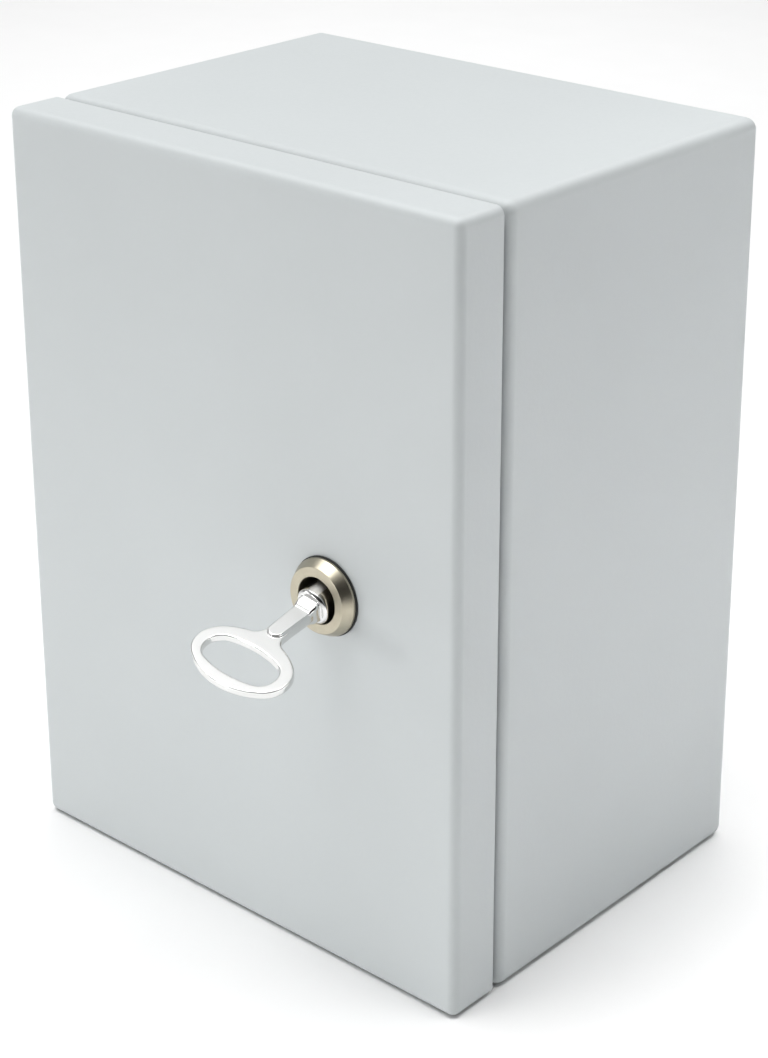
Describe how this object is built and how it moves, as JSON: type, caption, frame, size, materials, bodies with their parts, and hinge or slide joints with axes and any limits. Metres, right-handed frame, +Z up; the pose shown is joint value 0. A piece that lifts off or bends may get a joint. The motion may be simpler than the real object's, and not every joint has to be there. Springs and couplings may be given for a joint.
{
  "type": "wall-mounted utility cabinet",
  "caption": "Wall-mounted sheet-steel utility cabinet: a gasketed door on hidden hinges closes a box with a mounting plate and a cable-entry cover, and a cam lock holds its key.",
  "frame": {"origin": "centre of the four wall holes, on the back face", "axes": "+Z up, +Y into the wall so that the door faces -Y, +X to the right seen from the front"},
  "size_m": [0.22, 0.226, 0.3],
  "materials": {
    "powder_coat": "light grey powder coat with a fine texture",
    "zinc_plate": "zinc-plated steel, satin",
    "bright_steel": "bright zinc-plated fasteners",
    "galvanised": "hot-dip galvanised sheet with faint spangle",
    "seal_rubber": "black rubber, matt",
    "seal_foam": "dark poured polyurethane foam",
    "brass": "plain brass",
    "satin_nickel": "satin nickel-plated zinc casting, warm",
    "lock_zinc": "raw zinc casting",
    "key_nickel": "bright nickel-plated zinc casting"
  },
  "bodies": {
    "cabinet": {"body_shell": "powder_coat", "body_hinge_upper": "zinc_plate", "body_hinge_lower": "zinc_plate", "plate_studs": "bright_steel", "plate_spacers": "bright_steel", "mounting_plate": "galvanised", "plate_washers": "bright_steel", "plate_nuts": "bright_steel", "entry_studs": "bright_steel", "entry_gasket": "seal_rubber", "entry_cover": "powder_coat", "entry_washers": "bright_steel", "entry_nuts": "bright_steel", "earth_stud": "brass", "earth_washer": "bright_steel", "earth_nut": "brass"},
    "door": {"door_panel": "powder_coat", "door_gasket": "seal_foam", "door_hinge_upper": "zinc_plate", "door_hinge_lower": "zinc_plate", "hinge_pin_upper": "bright_steel", "hinge_pin_lower": "bright_steel", "door_earth_stud": "brass", "door_earth_washer": "bright_steel", "door_earth_nut": "brass", "lock_seal": "seal_rubber", "lock_housing": "satin_nickel", "lock_nut": "zinc_plate"},
    "lock_core": {"lock_core": "lock_zinc", "lock_cam": "zinc_plate", "cam_washer": "bright_steel", "cam_screw": "bright_steel"},
    "key": {"key": "key_nickel"}
  },
  "joints": [
    {"name": "door_swing", "type": "hinge", "parent": "cabinet", "child": "door", "pos_m": [-0.1035, -0.15728, 0], "axis": [0, 0, -1], "range_deg": [0, 120]},
    {"name": "lock_turn", "type": "hinge", "parent": "door", "child": "lock_core", "pos_m": [0.05, -0.17, 0], "axis": [0, -1, 0], "range_deg": [0, 90]},
    {"name": "key_slide", "type": "slide", "parent": "lock_core", "child": "key", "axis": [0, -1, 0], "range_m": [0, 0.01]}
  ]
}
